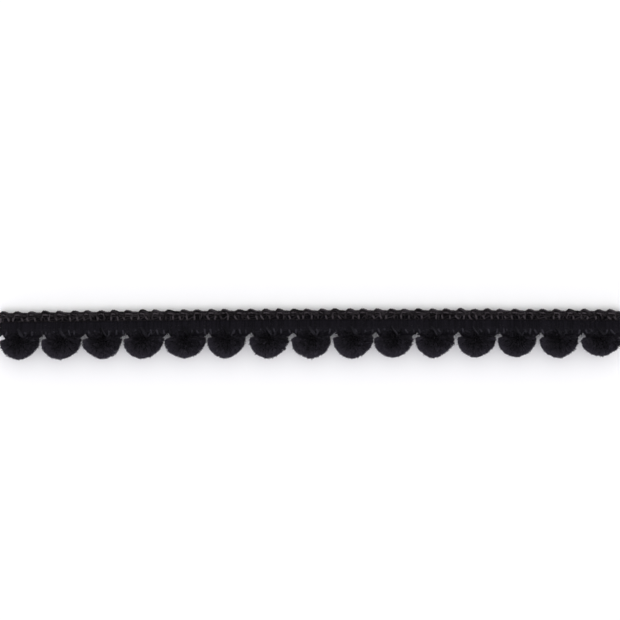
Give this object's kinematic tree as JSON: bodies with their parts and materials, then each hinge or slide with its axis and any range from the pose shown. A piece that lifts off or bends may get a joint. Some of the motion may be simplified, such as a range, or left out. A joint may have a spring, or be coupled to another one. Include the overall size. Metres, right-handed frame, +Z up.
{
  "type": "pompom fringe trim",
  "caption": "Narrow black trim: a crocheted braid with a scalloped edge and a row of small cut-pile pompoms tied along its other edge.",
  "frame": {"origin": "on the surface that the trim lies on, under the middle of its bounding box", "axes": "+X along the trim, +Y across it towards the scalloped edge, +Z up, out of the face that shows"},
  "size_m": [0.1574, 0.0127, 0.007],
  "materials": {
    "braid_yarn": "crocheted black yarn with a slight shine",
    "pompom_pile": "matt black cut pile"
  },
  "bodies": {
    "root": {"header": "braid_yarn", "pompom_01": "pompom_pile", "pompom_02": "pompom_pile", "pompom_03": "pompom_pile", "pompom_04": "pompom_pile", "pompom_05": "pompom_pile", "pompom_06": "pompom_pile", "pompom_07": "pompom_pile", "pompom_08": "pompom_pile", "pompom_09": "pompom_pile", "pompom_10": "pompom_pile", "pompom_11": "pompom_pile", "pompom_12": "pompom_pile", "pompom_13": "pompom_pile", "pompom_14": "pompom_pile", "pompom_15": "pompom_pile"}
  },
  "joints": []
}
